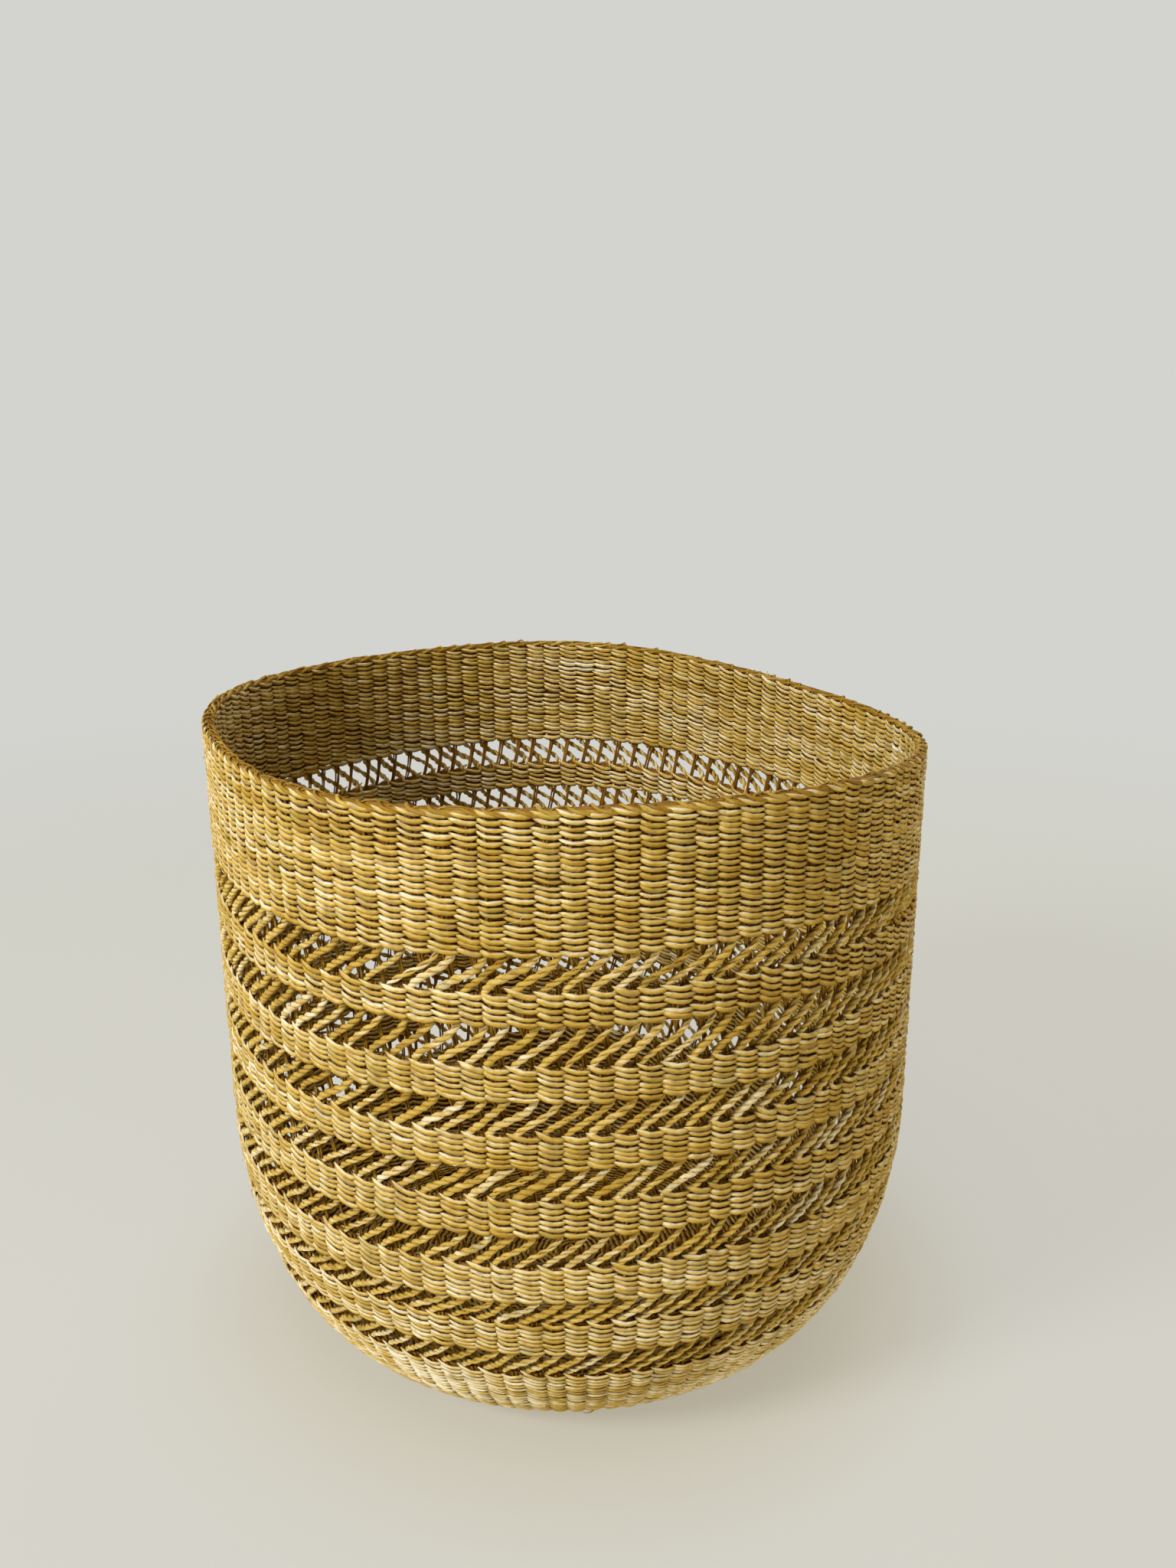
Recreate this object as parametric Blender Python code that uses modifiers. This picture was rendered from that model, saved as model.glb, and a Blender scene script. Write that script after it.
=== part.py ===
"""Woven basket of twined straw with seven open bands, modelled in metres with +Z up.

The origin is on the floor, under the middle of the base. The basket is built as the weaver
builds it, from the floor up: a flat base, a foot that turns upright, six closed hoops with an
open band below each, and a tall closed band with a border on top. The foot and the tall band
have the ribs that the weave makes over its stakes. In the open bands the stakes show in two
layers, slanting ropes outside and upright straw pairs inside. The ropes grow out of the weave
below them, and the straws hang out of the weave above them.
"""
import math

import bmesh
import bpy
from mathutils import Vector

# The wall, as a true round basket
WALL_RADIUS = 0.1768        # outer face of the upright wall
WALL_THICKNESS = 0.0068     # two wefts with a stake between them
FLOOR_RADIUS = 0.110        # the flat base ends here and the foot begins
TURN_HEIGHT = 0.125         # the foot has turned upright at this height

# Heights of the bands, from the floor up
FOOT_HEIGHT = 0.0512
OPEN_HEIGHTS = (0.0152, 0.0116, 0.0157, 0.0147, 0.0156, 0.0185, 0.0163)
HOOP_HEIGHTS = (0.0184, 0.0176, 0.0163, 0.0152, 0.0157, 0.0142)
UPPER_BAND_HEIGHT = 0.0589
BORDER_HEIGHT = 0.0037
BORDER_OVERHANG = 0.0004    # the plait stands this far out of the wall on both faces

# Stakes and what shows of them in the open bands
STAKES = 105
STAKES_PER_FACET = 3        # the round bands have one flat facet for so many stakes
STAKES_PER_STRAW = 5        # of the straw pairs, one in so many is modelled
ROPE_DIAMETER = 0.0029
ROPE_LEAN = 2.0             # stakes that a rope passes on its way up its open band
ROPE_INSET = 0.0024         # middle of the rope, inward from the outer face
STRAW_PAIR_WIDTH = 0.0030
STRAW_LEAN = -0.5
STRAW_INSET = 0.0051        # middle of the straw pair, inward from the outer face
STRAND_ROOT = 0.0010        # depth of a rope or straw in the weave that it grows out of

# Ribs of the weave on the two tallest bands, one for each facet of the others
VALLEY_DEPTH = 0.0018       # of the valleys between the ribs, in both faces
LEVEL_EDGE = 0.0045         # the first and last rows of the tall band run level round it

# How far the hand-made rim is from a level circle: waves round the rim, size, direction of one
# crest in degrees. A count of no waves is an even flare.
RADIUS_WAVES = ((0, 0.0027, 0), (4, 0.0022, -10), (5, 0.0023, 19))
HEIGHT_WAVES = ((1, 0.0071, 174), (2, 0.0044, 110), (3, 0.0017, -47))

# The foot is taller at the back, which lifts the low bands there and crowds the middle ones
BACK_LIFT = 0.0160
BACK_LIFT_END = 0.2257      # from this height up there is none
BACK_LIFT_SKEW = 0.68       # under 1, the most lift is below the middle of that height
BACK_LIFT_FADE = 1.5        # over 1, the lift fades out gently towards the sides

CLEARANCE = 0.0003          # gap between neighbouring pieces
FOOT_STEPS = 3              # flats in the curve of the foot
MERGE_DISTANCE = 0.00001

WALL_HEIGHT = FOOT_HEIGHT + sum(OPEN_HEIGHTS) + sum(HOOP_HEIGHTS) + UPPER_BAND_HEIGHT
RIM_HEIGHT = WALL_HEIGHT + BORDER_HEIGHT
FACETS = STAKES // STAKES_PER_FACET


def collection(name):
    """A new collection in the scene."""
    made = bpy.data.collections.new(name)
    bpy.context.scene.collection.children.link(made)
    return made


def straw_material(name, colour, roughness):
    """A dry straw finish."""
    material = bpy.data.materials.new(name)
    material.use_nodes = True
    shader = material.node_tree.nodes["Principled BSDF"]
    shader.inputs["Base Color"].default_value = (*colour, 1.0)
    shader.inputs["Roughness"].default_value = roughness
    shader.inputs["Metallic"].default_value = 0.0
    return material


def turn_angle(height, inset):
    """How far round the elliptic turn of the foot a height is, 90 degrees where it is upright."""
    drop = (TURN_HEIGHT - height) / (TURN_HEIGHT - inset)
    return math.acos(min(max(drop, 0.0), 1.0))


def wall_radius(height, inset=0.0):
    """Radius of the wall at a height, on its outer face or a distance inside it."""
    reach = WALL_RADIUS - FLOOR_RADIUS - inset
    return FLOOR_RADIUS + reach * math.sin(turn_angle(height, inset))


def sway(waves, angle):
    """Sum of the waves round the rim at an angle."""
    return sum(size * math.cos(count * (angle - math.radians(at))) for count, size, at in waves)


def direction(angle):
    """The level direction from the axis at an angle."""
    return Vector((math.cos(angle), math.sin(angle), 0.0))


def back_lift(height, angle):
    """How much higher a point of the wall is because of the tall back of the foot."""
    share = (height - WALL_THICKNESS) / (BACK_LIFT_END - WALL_THICKNESS)
    share = min(max(share, 0.0), 1.0) ** BACK_LIFT_SKEW
    behind = max(math.sin(angle), 0.0) ** BACK_LIFT_FADE
    return BACK_LIFT * behind * math.sin(math.pi * share) ** 2


def settle(obj):
    """Moves a finished piece from the true round basket to the hand-made one.

    The floor stays a flat circle, and the waves of the rim grow evenly with the height.
    """
    for vertex in obj.data.vertices:
        point = vertex.co
        angle = math.atan2(point.y, point.x)
        share = point.z / RIM_HEIGHT
        point += direction(angle) * share * sway(RADIUS_WAVES, angle)
        point.z += share * sway(HEIGHT_WAVES, angle) + back_lift(point.z, angle)


def as_mesh(obj):
    """Applies all modifiers of an object."""
    graph = bpy.context.evaluated_depsgraph_get()
    mesh = bpy.data.meshes.new_from_object(obj.evaluated_get(graph))
    obj.modifiers.clear()
    obj.data = mesh


def turned(name, profile, into, facets=FACETS):
    """A piece turned from a profile of (radius, height) points, open where it meets the axis."""
    mesh = bpy.data.meshes.new(name)
    count = len(profile)
    points = [(radius, 0.0, height) for radius, height in profile]
    edges = [(i, i + 1) for i in range(count - 1)]
    if profile[0][0] > 0.0:
        edges.append((count - 1, 0))
    mesh.from_pydata(points, edges, [])
    ring = bpy.data.objects.new(name, mesh)
    into.objects.link(ring)
    screw = ring.modifiers.new("turn", "SCREW")
    screw.axis = "Z"
    screw.steps = facets
    screw.render_steps = facets
    screw.use_merge_vertices = True
    screw.merge_threshold = MERGE_DISTANCE
    screw.use_smooth_shade = False
    return ring


def ribbed(name, profile, into):
    """A turned band with ribs: every other upright line of it is a valley in both faces.

    Its edges stay level, because the strands of the open bands grow out there.
    """
    band = turned(name, profile, into, 2 * FACETS)
    as_mesh(band)
    heights = [height for radius, height in profile]
    low, high = min(heights), max(heights)
    for vertex in band.data.vertices:
        point = vertex.co
        angle = math.atan2(point.y, point.x)
        line = round(angle / math.tau * 2 * FACETS)
        outside = math.hypot(point.x, point.y) > wall_radius(point.z, WALL_THICKNESS / 2)
        inset, depth = (0.0, VALLEY_DEPTH) if outside else (WALL_THICKNESS, -VALLEY_DEPTH)
        above = point.z - max(low, inset)
        if line % 2 == 0 and above > MERGE_DISTANCE and high - point.z > MERGE_DISTANCE:
            turn = turn_angle(point.z, inset)
            point -= direction(angle) * math.sin(turn) * depth
            point.z += math.cos(turn) * depth
    return band


def strand_layer(name, count, phase, low, high, width, depth, inset, lean, into):
    """One layer of an open band: three-sided strands between two heights.

    Every strand starts as an upright prism. It is widened by its slant, so that it is as thick
    as the real strand across its own length, and then leaned so that it passes lean stakes.
    """
    sweep = lean * math.tau / STAKES
    rise = high - low
    run = abs(sweep) * wall_radius((low + high) / 2, inset)
    slant = math.hypot(rise, run) / rise
    mesh = bpy.data.meshes.new(name)
    layer = bmesh.new()
    for number in range(count):
        foot = (number + phase) * math.tau / count
        facing = direction(foot + sweep / 2)
        along = Vector((-facing.y, facing.x, 0.0))
        made = bmesh.ops.create_cone(layer, cap_ends=True, segments=3,
                                     radius1=1.0, radius2=1.0, depth=1.0)
        for vertex in made["verts"]:
            upper = vertex.co.z > 0.0
            height = high if upper else low
            middle = direction(foot + sweep if upper else foot) * wall_radius(height, inset)
            across = vertex.co.x * width / math.sqrt(3.0) * slant
            vertex.co = middle + along * across + facing * vertex.co.y * depth
            vertex.co.z = height
    bmesh.ops.recalc_face_normals(layer, faces=layer.faces)
    layer.to_mesh(mesh)
    layer.free()
    strands = bpy.data.objects.new(name, mesh)
    strands.hide_render = True
    strands.display_type = "WIRE"
    into.objects.link(strands)
    return strands


def join(ring, strands):
    """Grows a layer of strands out of a ring."""
    union = ring.modifiers.new(strands.name, "BOOLEAN")
    union.operation = "UNION"
    union.solver = "EXACT"
    union.object = strands


def ropes_above(height, rise, number, into):
    """The slanting ropes of an open band, which stand on the weave below it."""
    return strand_layer(f"ropes_{number}", STAKES, 0.5, height - STRAND_ROOT,
                        height + rise - CLEARANCE, ROPE_DIAMETER, ROPE_DIAMETER / 2,
                        ROPE_INSET, ROPE_LEAN, into)


def straws_below(height, drop, number, into):
    """The upright straw pairs of an open band, which hang from the weave above it."""
    low = height - drop + CLEARANCE
    return strand_layer(f"straws_{number}", STAKES // STAKES_PER_STRAW, 0.5, low,
                        height + STRAND_ROOT, STRAW_PAIR_WIDTH, -STRAW_PAIR_WIDTH / 2,
                        STRAW_INSET, STRAW_LEAN, into)


def band_profile(*heights):
    """Section of a closed band of the wall, with points at heights given from the top down."""
    outer = [(wall_radius(height), height) for height in heights]
    inner = [(wall_radius(height, WALL_THICKNESS), height) for height in heights]
    return outer + inner[::-1]


def base_profile():
    """Half section of the flat base, from the axis out and back."""
    return [(0.0, WALL_THICKNESS), (FLOOR_RADIUS, WALL_THICKNESS), (FLOOR_RADIUS, 0.0), (0.0, 0.0)]


def foot_profile():
    """Section of the foot: both faces of the wall on their elliptic turn up from the floor."""
    inner_edge = FLOOR_RADIUS + CLEARANCE
    outer = []
    inner = []
    for step in range(FOOT_STEPS, -1, -1):
        share = step / FOOT_STEPS
        for inset, side in ((0.0, outer), (WALL_THICKNESS, inner)):
            turn = turn_angle(FOOT_HEIGHT, inset) * share
            radius = FLOOR_RADIUS + (WALL_RADIUS - FLOOR_RADIUS - inset) * math.sin(turn)
            height = TURN_HEIGHT - (TURN_HEIGHT - inset) * math.cos(turn)
            side.append((max(radius, inner_edge), height))
    return outer + inner[::-1]


def border_profile(low):
    """Section of the plaited border that lies on the upper band."""
    outer = WALL_RADIUS + BORDER_OVERHANG
    inner = WALL_RADIUS - WALL_THICKNESS - BORDER_OVERHANG
    shoulder = low + BORDER_HEIGHT * 0.6
    round_off = BORDER_HEIGHT * 0.3
    top = low + BORDER_HEIGHT
    return [(outer - round_off, top), (outer, shoulder), (outer - round_off, low),
            (inner + round_off, low), (inner, shoulder), (inner + round_off, top)]


def build_basket():
    """All the bands from the floor to the rim, each a piece of its own."""
    parts = collection("woven_basket")
    strands = collection("strand_guides")
    foot = ribbed("foot_band", foot_profile(), parts)
    pieces = [turned("base_disc", base_profile(), parts), foot]

    below = foot
    height = FOOT_HEIGHT
    for number, opening in enumerate(OPEN_HEIGHTS, start=1):
        join(below, ropes_above(height, opening, number, strands))
        height += opening
        if number <= len(HOOP_HEIGHTS):
            top = height + HOOP_HEIGHTS[number - 1]
            band = turned(f"weave_band_{number}", band_profile(top, height), parts)
        else:
            top = height + UPPER_BAND_HEIGHT
            section = band_profile(top, top - LEVEL_EDGE, height + LEVEL_EDGE, height)
            band = ribbed("upper_band", section, parts)
        join(band, straws_below(height, opening, number, strands))
        pieces.append(band)
        below = band
        height = top
    pieces.append(turned("rim_border", border_profile(height + CLEARANCE), parts))

    for piece in pieces:
        as_mesh(piece)
    for piece in pieces:
        settle(piece)
    return pieces


def colour_basket(pieces):
    """Every piece has its own straw: the border and the open work are a little lighter."""
    tones = {
        "base_disc": (0.50, 0.34, 0.12),
        "foot_band": (0.55, 0.38, 0.14),
        "upper_band": (0.60, 0.43, 0.17),
        "rim_border": (0.66, 0.49, 0.22),
    }
    hoop_tone = (0.57, 0.40, 0.15)
    for piece in pieces:
        material = straw_material(piece.name + "_straw", tones.get(piece.name, hoop_tone), 0.55)
        piece.data.materials.clear()
        piece.data.materials.append(material)


def main():
    for old in list(bpy.data.objects):
        bpy.data.objects.remove(old, do_unlink=True)
    colour_basket(build_basket())


main()
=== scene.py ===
"""Looks of the woven basket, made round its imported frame, in metres with +Z up.

Every straw is laid as the weaver lays it. In the closed bands each twined row has a boat-shaped
stitch over every stake, outside and inside, with a flat core straw between the two faces, and a
few loose hairs. In the open bands slanting two-ply ropes stand outside and the straws of the
stakes inside. At the rim the ends of the stakes are plaited into leaves outside and loops inside,
over two core straws. A straight strand is modelled once for each use, and its copies are laid
along these paths.
"""
import math

import bmesh
import bpy
import numpy as np
from mathutils import Euler, Matrix, Vector


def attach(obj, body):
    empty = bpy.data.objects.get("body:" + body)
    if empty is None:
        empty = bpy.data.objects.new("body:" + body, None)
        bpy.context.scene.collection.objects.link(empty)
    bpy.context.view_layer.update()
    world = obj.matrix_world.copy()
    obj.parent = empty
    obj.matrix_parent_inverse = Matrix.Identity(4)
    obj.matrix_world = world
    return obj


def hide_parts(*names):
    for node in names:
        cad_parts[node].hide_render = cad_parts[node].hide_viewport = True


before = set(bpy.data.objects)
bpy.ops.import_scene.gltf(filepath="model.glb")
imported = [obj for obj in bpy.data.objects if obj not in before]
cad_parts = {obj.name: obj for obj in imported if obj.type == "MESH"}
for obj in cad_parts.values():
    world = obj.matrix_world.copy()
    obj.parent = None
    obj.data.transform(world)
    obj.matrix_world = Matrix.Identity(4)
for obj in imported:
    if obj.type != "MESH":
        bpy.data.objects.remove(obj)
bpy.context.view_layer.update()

# The wall, with the same sizes as the solids of the frame
WALL_RADIUS = 0.1768
WALL_THICKNESS = 0.0068
FLOOR_RADIUS = 0.110
TURN_HEIGHT = 0.125
FOOT_HEIGHT = 0.0512
OPEN_HEIGHTS = (0.0152, 0.0116, 0.0157, 0.0147, 0.0156, 0.0185, 0.0163)
HOOP_HEIGHTS = (0.0184, 0.0176, 0.0163, 0.0152, 0.0157, 0.0142)
UPPER_BAND_HEIGHT = 0.0589
BORDER_HEIGHT = 0.0037
STAKES = 105
RADIUS_WAVES = ((0, 0.0027, 0), (4, 0.0022, -10), (5, 0.0023, 19))
HEIGHT_WAVES = ((1, 0.0071, 174), (2, 0.0044, 110), (3, 0.0017, -47))
BACK_LIFT = 0.0160
BACK_LIFT_END = 0.2257
BACK_LIFT_SKEW = 0.68
BACK_LIFT_FADE = 1.5
WALL_HEIGHT = FOOT_HEIGHT + sum(OPEN_HEIGHTS) + sum(HOOP_HEIGHTS) + UPPER_BAND_HEIGHT
RIM_HEIGHT = WALL_HEIGHT + BORDER_HEIGHT
MIDDLE = WALL_THICKNESS / 2
STAKE_PHASE = math.radians(1.0)
PITCH = math.tau / STAKES    # angle between two stakes

# How far hand-set stakes and rows wander from their even places
WANDER_START = -0.12         # course of the lowest level of the tables, past the floor's axis
WANDER_STEP = 0.012          # from one level to the next
WANDER_LEVELS = 40
WANDER_FADE = 0.02           # width of the edge of the floor in which the wander ends

# A stitch, with its profiles as (share of its length, value) from its high end to its low end
ROW_PITCH = 0.00268          # height of one twined row
STITCH_WIDE = 0.00129        # half the height of a stitch, where it passes in front of a stake
STITCH_THICK = 0.00075       # half its thickness
STITCH_REACH = (-0.64, 0.61)  # its two ends, in stake pitches from its stake
REACH_SCATTER = 0.035
LEANING_SCATTER = (0.24, 0.20)  # spread of the slant by stake, and by stitch
OVER_OPENING_SIZE = 1.12
UNDER_OPENING_SIZE = 1.08
UNDER_OPENING_RISE = 1.15
CREST = 0.00020              # depth of the outermost stitches under the face of the wall
TIP_RISE = 0.00205           # a stitch comes out this much above its middle
BOAT_SAG = 0.0007            # its middle hangs below its two ends
END_LIFT = 0.0005            # its low end turns up again
STITCH_SCATTER = 0.00016     # spread of the stitches up and down
DEPTH_SCATTER = 0.00012      # spread of the stitches in and out
STITCH_DEPTH = ((0.0, 0.0011), (0.09, 0.0006), (0.22, 0.0002), (0.45, 0.0), (0.62, 0.0001),
                (0.82, 0.0004), (0.94, 0.0008), (1.0, 0.0013))
STITCH_FULLNESS = ((0.0, 0.06), (0.10, 0.56), (0.20, 0.96), (0.33, 1.05), (0.50, 0.82),
                   (0.67, 1.02), (0.80, 0.94), (0.90, 0.54), (1.0, 0.06))
# Painted light along a stitch: a painted highlight at its high end and painted shade towards its
# low end
STITCH_PAINTED_LIGHT = ((0.0, -1.0), (0.20, -0.8), (0.50, 0.3), (0.80, 0.5), (1.0, 0.3))
# Painted shade along a stitch, strongest at its two ends where it goes into the weave
STITCH_TUCK = ((0.0, 0.8), (0.06, 0.25), (0.14, 0.0), (0.82, 0.0), (0.94, 0.35), (1.0, 0.9))
STRAW_RUN = 8                # stitches that one straw makes, more or less

# Slant of the stitches in the foot, the hoops and the floor, against that of the upper band
FOOT_RISE = 1.25
HOOP_RISE = 1.18
FLOOR_RISE = 0.4

# The core straw of a row, and the loose hairs
CORE_HALF = 0.00095
CORE_RAISED = 0.0010         # above the middle of its row
CORE_HIDDEN = -0.0008        # the same in the last row under an opening
CORE_SCATTER = 0.0002
STITCHES_TO_A_HAIR = 40
SHARE_INSIDE = 0.35          # of the hairs
FEWEST_HAIRS = 6
HAIR_HALVES = (0.00010, 0.00016, 0.00038)
HAIR_FALL = 0.0020           # how far a hair strays from its row
HAIR_LOWEST = 0.014          # course under which a hair would touch the floor
HAIR_DEPTH = CREST + 0.0004

# The ropes of the open bands
ROPE_LEAN = 2.0              # stakes that a rope passes on its way up
ROPE_ROOT = 0.0018           # length hidden in the weave at each end
ROPE_TWISTS = 3.7
ROPE_DEPTH = 0.0040          # of its axis at both ends, under the face of the wall
ROPE_BULGE = 0.0021
ROPE_SCATTER = 0.00015
PLY_RADIUS = 0.00108
PLY_OFFSET = 0.00086         # from the axis of the rope to that of a ply
ROPE_THINNEST = 0.82         # share of full stoutness at the foot

# The straws of the stakes
STRAW_LEAN = -0.42           # in stake pitches over an open band
STRAW_HALF = 0.00056
STRAW_ROOT = 0.003
STRAW_GAP_OPEN = 0.055       # to each side of the middle, in stake pitches, in an open band
STRAW_GAP_WOVEN = 0.095      # and this much more in the weave
STRAW_BULGE = 0.0014         # towards the inside of the basket, in an open band
FOOT_STRAWS = (0.006, 0.012)  # heights at which the straws of the foot start and end their lean

# The border, with its profiles as (share of the length, value)
LEAF_HALF = 0.00090
LEAF_HEIGHT = ((0.0, -0.0010), (0.14, 0.0010), (0.24, 0.0016), (0.36, 0.0008), (0.60, -0.0002),
               (0.85, -0.0012), (1.0, -0.0020))
LEAF_DEPTH = ((0.0, 0.0060), (0.14, 0.0052), (0.24, 0.0034), (0.34, 0.0014), (0.50, 0.0008),
              (0.80, 0.0011), (1.0, 0.0032))
LEAF_WAY = ((0.0, -0.34), (0.14, -0.32), (0.28, -0.20), (0.40, 0.0), (1.0, 0.84))
LEAF_FULLNESS = ((0.0, 0.70), (0.25, 0.82), (0.40, 0.90), (0.55, 1.0), (0.78, 0.95), (1.0, 0.35))
HIGH_LEAF = 0.0007           # extra height of some leaves
HIGH_LEAVES = 0.25           # share of the leaves that have it
LEAF_FOLD = 0.22             # where a leaf is folded over, as a share of its length
LEAF_FOLD_LENGTH = 0.11
LOOP_HALF = 0.00072
LOOP_HEIGHT = ((0.0, -0.0016), (0.2, 0.0010), (0.5, 0.0012), (0.8, 0.0002), (1.0, -0.0014))
LOOP_DEPTH = ((0.0, 0.0022), (0.2, 0.0034), (0.5, 0.0050), (0.8, 0.0060), (1.0, 0.0050))
LOOP_WAY = ((0.0, -0.15), (0.2, 0.0), (1.0, 1.25))
LOOP_FULLNESS = ((0.0, 0.6), (0.3, 1.0), (0.7, 1.0), (1.0, 0.5))
BORDER_CORES = ((0.0026, 0.0004, 0.0011), (0.0045, 0.0002, 0.0010))  # depth, drop, radius

# The floor of the basket: stakes in each ring of rows, and the courses that it lies between
FLOOR_ROWS = 37
FLOOR_EYE = 0.0010           # radius of the first row
FLOOR_EDGE = 0.0020          # from the last row to the foot
FLOOR_RINGS = ((9, -0.110, -0.1045), (15, -0.1045, -0.088), (35, -0.088, -0.055),
               (69, -0.055, 0.0))

# The colours of dry grass, and of the shade between its stitches
PALE = (0.86, 0.77, 0.56)
GOLD = (0.60, 0.400, 0.080)
TAN = (0.35, 0.195, 0.020)
BROWN = (0.20, 0.085, 0.004)
MAUVE = (0.36, 0.235, 0.095)
OLIVE = (0.26, 0.188, 0.038)
CREVICE = (0.19, 0.062, 0.0003)

# The studio
BACKDROP = (0.652, 0.657, 0.625)
PAPER = (0.622, 0.614, 0.556)
# Painted shadow of the paper close to the basket, darker and warmer as in shade with warm light
# bounced off the straw
PAINTED_SHADOW_PAPER = (0.535, 0.498, 0.395)
PAPER_COLOUR = (0.90, 0.885, 0.82)
FILL_COLOUR = (1.0, 0.87, 0.56)
FILL_STRENGTH = 0.07
LAMPS = (  # name, place, aim, width, watts and colour
    ("window", (-1.55, -1.15, 1.35), (0.0, 0.0, 0.2), 0.7, 52.0, (0.96, 0.985, 1.0)),
    ("ceiling", (-0.2, -0.6, 2.2), (0.0, 0.0, 0.2), 1.2, 13.0, (1.0, 0.95, 0.80)),
    ("side", (1.7, -1.3, 0.35), (0.0, 0.0, 0.15), 0.9, 14.5, (1.0, 0.94, 0.70)),
    ("back", (0.9, 1.8, 1.0), (0.0, 0.0, 0.2), 1.4, 15.0, (1.0, 0.95, 0.82)),
)
PHOTO_HEIGHT = 2048          # in pixels
FOCAL_PIXELS = 1800.2
SENSOR = 36.0
CAMERA_AT = (0.011484, -0.68123, 0.46924)
CAMERA_TILT = 0.2728
CAMERA_ROLL = -0.0076


# The wall


def sway(waves, angle):
    """Sum of the waves round the rim at an angle."""
    total = np.zeros_like(angle)
    for count, size, at in waves:
        total += size * np.cos(count * (angle - math.radians(at)))
    return total


def back_lift(height, angle):
    """How much higher the wall is because of the tall back of the foot."""
    share = (height - WALL_THICKNESS) / (BACK_LIFT_END - WALL_THICKNESS)
    share = np.clip(share, 0.0, 1.0) ** BACK_LIFT_SKEW
    behind = np.maximum(np.sin(angle), 0.0) ** BACK_LIFT_FADE
    return BACK_LIFT * behind * np.sin(math.pi * share) ** 2


def arc_table(steps=600):
    """Turn angles of the foot, and how far along the middle of the wall each one is."""
    turns = np.linspace(0.0, math.pi / 2, steps)
    radius = (WALL_RADIUS - FLOOR_RADIUS - MIDDLE) * np.sin(turns)
    height = (TURN_HEIGHT - MIDDLE) * (1.0 - np.cos(turns))
    pieces = np.hypot(np.diff(radius), np.diff(height))
    return turns, np.concatenate(([0.0], np.cumsum(pieces)))


TURNS, TURN_COURSES = arc_table()


def course_at(height):
    """How far a height of the wall is along its middle, from the edge of the floor."""
    if height >= TURN_HEIGHT:
        return TURN_COURSES[-1] + height - TURN_HEIGHT
    turn = math.acos(min((TURN_HEIGHT - height) / (TURN_HEIGHT - MIDDLE), 1.0))
    return float(np.interp(turn, TURNS, TURN_COURSES))


def band_courses(low, high):
    """Middles of the rows of a closed band between two heights."""
    start, end = course_at(low), course_at(high)
    rows = max(int(round((end - start) / ROW_PITCH)), 1)
    return start + (np.arange(rows) + 0.5) * (end - start) / rows


def on_wall(angle, course, inset):
    """Points of the wall: a direction, a way up along its middle, and a depth from outside.

    A negative course is on the floor, on its way to the axis.
    """
    turn = np.interp(course, TURN_COURSES, TURNS)
    beyond = np.maximum(course - TURN_COURSES[-1], 0.0)
    reach = WALL_RADIUS - FLOOR_RADIUS - inset
    radius = FLOOR_RADIUS + np.minimum(course, 0.0) + reach * np.sin(turn)
    height = TURN_HEIGHT - (TURN_HEIGHT - inset) * np.cos(turn) + beyond
    share = height / RIM_HEIGHT
    radius = radius + share * sway(RADIUS_WAVES, angle)
    height = height + share * sway(HEIGHT_WAVES, angle) + back_lift(height, angle)
    return np.stack((radius * np.cos(angle), radius * np.sin(angle), height), axis=-1)


def vary(rng, middle, spread, shape=(STAKES, 1)):
    """Random values about a middle one, one to a stake unless a shape is given."""
    return middle + spread * rng.standard_normal(shape)


def drift(rng, shape, reach):
    """Random values of unit spread that change slowly along the last axis and close on it."""
    count = shape[-1]
    steps = np.minimum(np.arange(count), count - np.arange(count))
    kernel = np.exp(-0.5 * (steps / reach) ** 2)
    mixed = np.fft.ifft(np.fft.fft(rng.standard_normal(shape)) * np.fft.fft(kernel)).real
    return mixed / mixed.std()


def wander_table(seed, own, upwards, around):
    """Wander at some levels of every stake: a part of its own, a part that changes slowly up
    the wall, and a part that changes slowly from stake to stake."""
    rng = np.random.default_rng(seed)
    fixed = vary(rng, 0.0, own, STAKES)
    changing = upwards * drift(rng, (STAKES, WANDER_LEVELS), 3.0).T
    return changing + fixed + around * drift(rng, (WANDER_LEVELS, STAKES), 4.0)


STAKE_WANDER = wander_table(11, 0.048, 0.040, 0.0)   # in stake pitches
ROW_WANDER = wander_table(12, 0.0, 0.0, 0.00045)     # in metres along the wall


def from_table(table, position, course):
    """Reads a table of levels and stakes between its values."""
    column = np.mod(position, STAKES)
    left = np.floor(column).astype(int)
    share = column - left
    share = share * share * (3.0 - 2.0 * share)
    left = left % STAKES
    right = (left + 1) % STAKES
    level = np.clip((course - WANDER_START) / WANDER_STEP, 0.0, WANDER_LEVELS - 1.001)
    low = np.floor(level).astype(int)
    up = level - low
    lower = table[low, left] * (1 - share) + table[low, right] * share
    upper = table[low + 1, left] * (1 - share) + table[low + 1, right] * share
    return lower * (1 - up) + upper * up


def placed(position, course, inset):
    """Points of the wall by stake: whole positions are stakes, halves the gaps between them."""
    shift = from_table(STAKE_WANDER, position, course)
    fade = np.clip(course / WANDER_FADE + 1.0, 0.0, 1.0)
    course = course + from_table(ROW_WANDER, position, course) * fade
    return on_wall((position + shift * fade) * PITCH + STAKE_PHASE, course, inset)


def outwards(position, course, inset, step=0.0005):
    """Direction out of the wall."""
    return placed(position, course, inset - step) - placed(position, course, inset + step)


# The strands


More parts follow.
